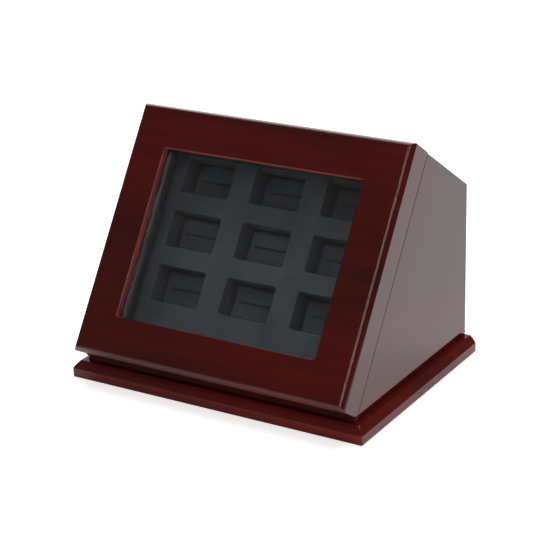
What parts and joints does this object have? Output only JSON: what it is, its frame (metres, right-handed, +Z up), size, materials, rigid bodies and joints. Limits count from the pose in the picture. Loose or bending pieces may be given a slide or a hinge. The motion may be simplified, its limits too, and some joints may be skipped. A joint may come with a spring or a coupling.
{
  "type": "slant-front ring display case",
  "caption": "Slant-front lacquered wood display case with a glazed, top-hinged lid over a velvet board of ring wells, on a moulded base.",
  "frame": {"origin": "centre of the base's underside, on the surface the case stands on", "axes": "+X to the case's right side seen from the front, +Y towards its back, +Z up"},
  "size_m": [0.233, 0.1814, 0.1782],
  "materials": {
    "cherry_lacquer": "high-gloss dark cherry lacquer over fine straight grain",
    "plain_wood": "bare, unfinished",
    "black_velvet": "black flocked velvet",
    "black_felt": "black baize",
    "clear_glass": "clear float glass",
    "brass": "polished",
    "zinc_steel": "zinc plated"
  },
  "bodies": {
    "case": {"back_panel": "cherry_lacquer", "backing_board": "plain_wood", "base_board": "cherry_lacquer", "base_felt": "black_felt", "base_screw_left_1": "zinc_steel", "base_screw_left_2": "zinc_steel", "base_screw_left_3": "zinc_steel", "base_screw_right_1": "zinc_steel", "base_screw_right_2": "zinc_steel", "base_screw_right_3": "zinc_steel", "front_rail": "cherry_lacquer", "hinge_left_case_leaf": "brass", "hinge_left_case_screw_1": "brass", "hinge_left_case_screw_2": "brass", "hinge_left_pin": "brass", "hinge_right_case_leaf": "brass", "hinge_right_case_screw_1": "brass", "hinge_right_case_screw_2": "brass", "hinge_right_pin": "brass", "left_cleat": "plain_wood", "left_side_panel": "cherry_lacquer", "right_cleat": "plain_wood", "right_side_panel": "cherry_lacquer", "ring_board": "black_velvet", "ring_cushion_r1_c1": "black_velvet", "ring_cushion_r1_c2": "black_velvet", "ring_cushion_r1_c3": "black_velvet", "ring_cushion_r2_c1": "black_velvet", "ring_cushion_r2_c2": "black_velvet", "ring_cushion_r2_c3": "black_velvet", "ring_cushion_r3_c1": "black_velvet", "ring_cushion_r3_c2": "black_velvet", "ring_cushion_r3_c3": "black_velvet", "top_panel": "cherry_lacquer", "wall_liner_bottom": "black_velvet", "wall_liner_left": "black_velvet", "wall_liner_right": "black_velvet", "wall_liner_top": "black_velvet"},
    "lid": {"glass_pane": "clear_glass", "glazing_strip_bottom": "black_velvet", "glazing_strip_left": "black_velvet", "glazing_strip_right": "black_velvet", "glazing_strip_top": "black_velvet", "hinge_left_lid_leaf": "brass", "hinge_left_lid_screw_1": "brass", "hinge_left_lid_screw_2": "brass", "hinge_right_lid_leaf": "brass", "hinge_right_lid_screw_1": "brass", "hinge_right_lid_screw_2": "brass", "lid_panel": "cherry_lacquer"}
  },
  "joints": [
    {"name": "lid_hinge", "type": "hinge", "parent": "case", "child": "lid", "pos_m": [0, 0.02548, 0.16816], "axis": [-1, 0, 0], "range_deg": [0, 185]}
  ]
}
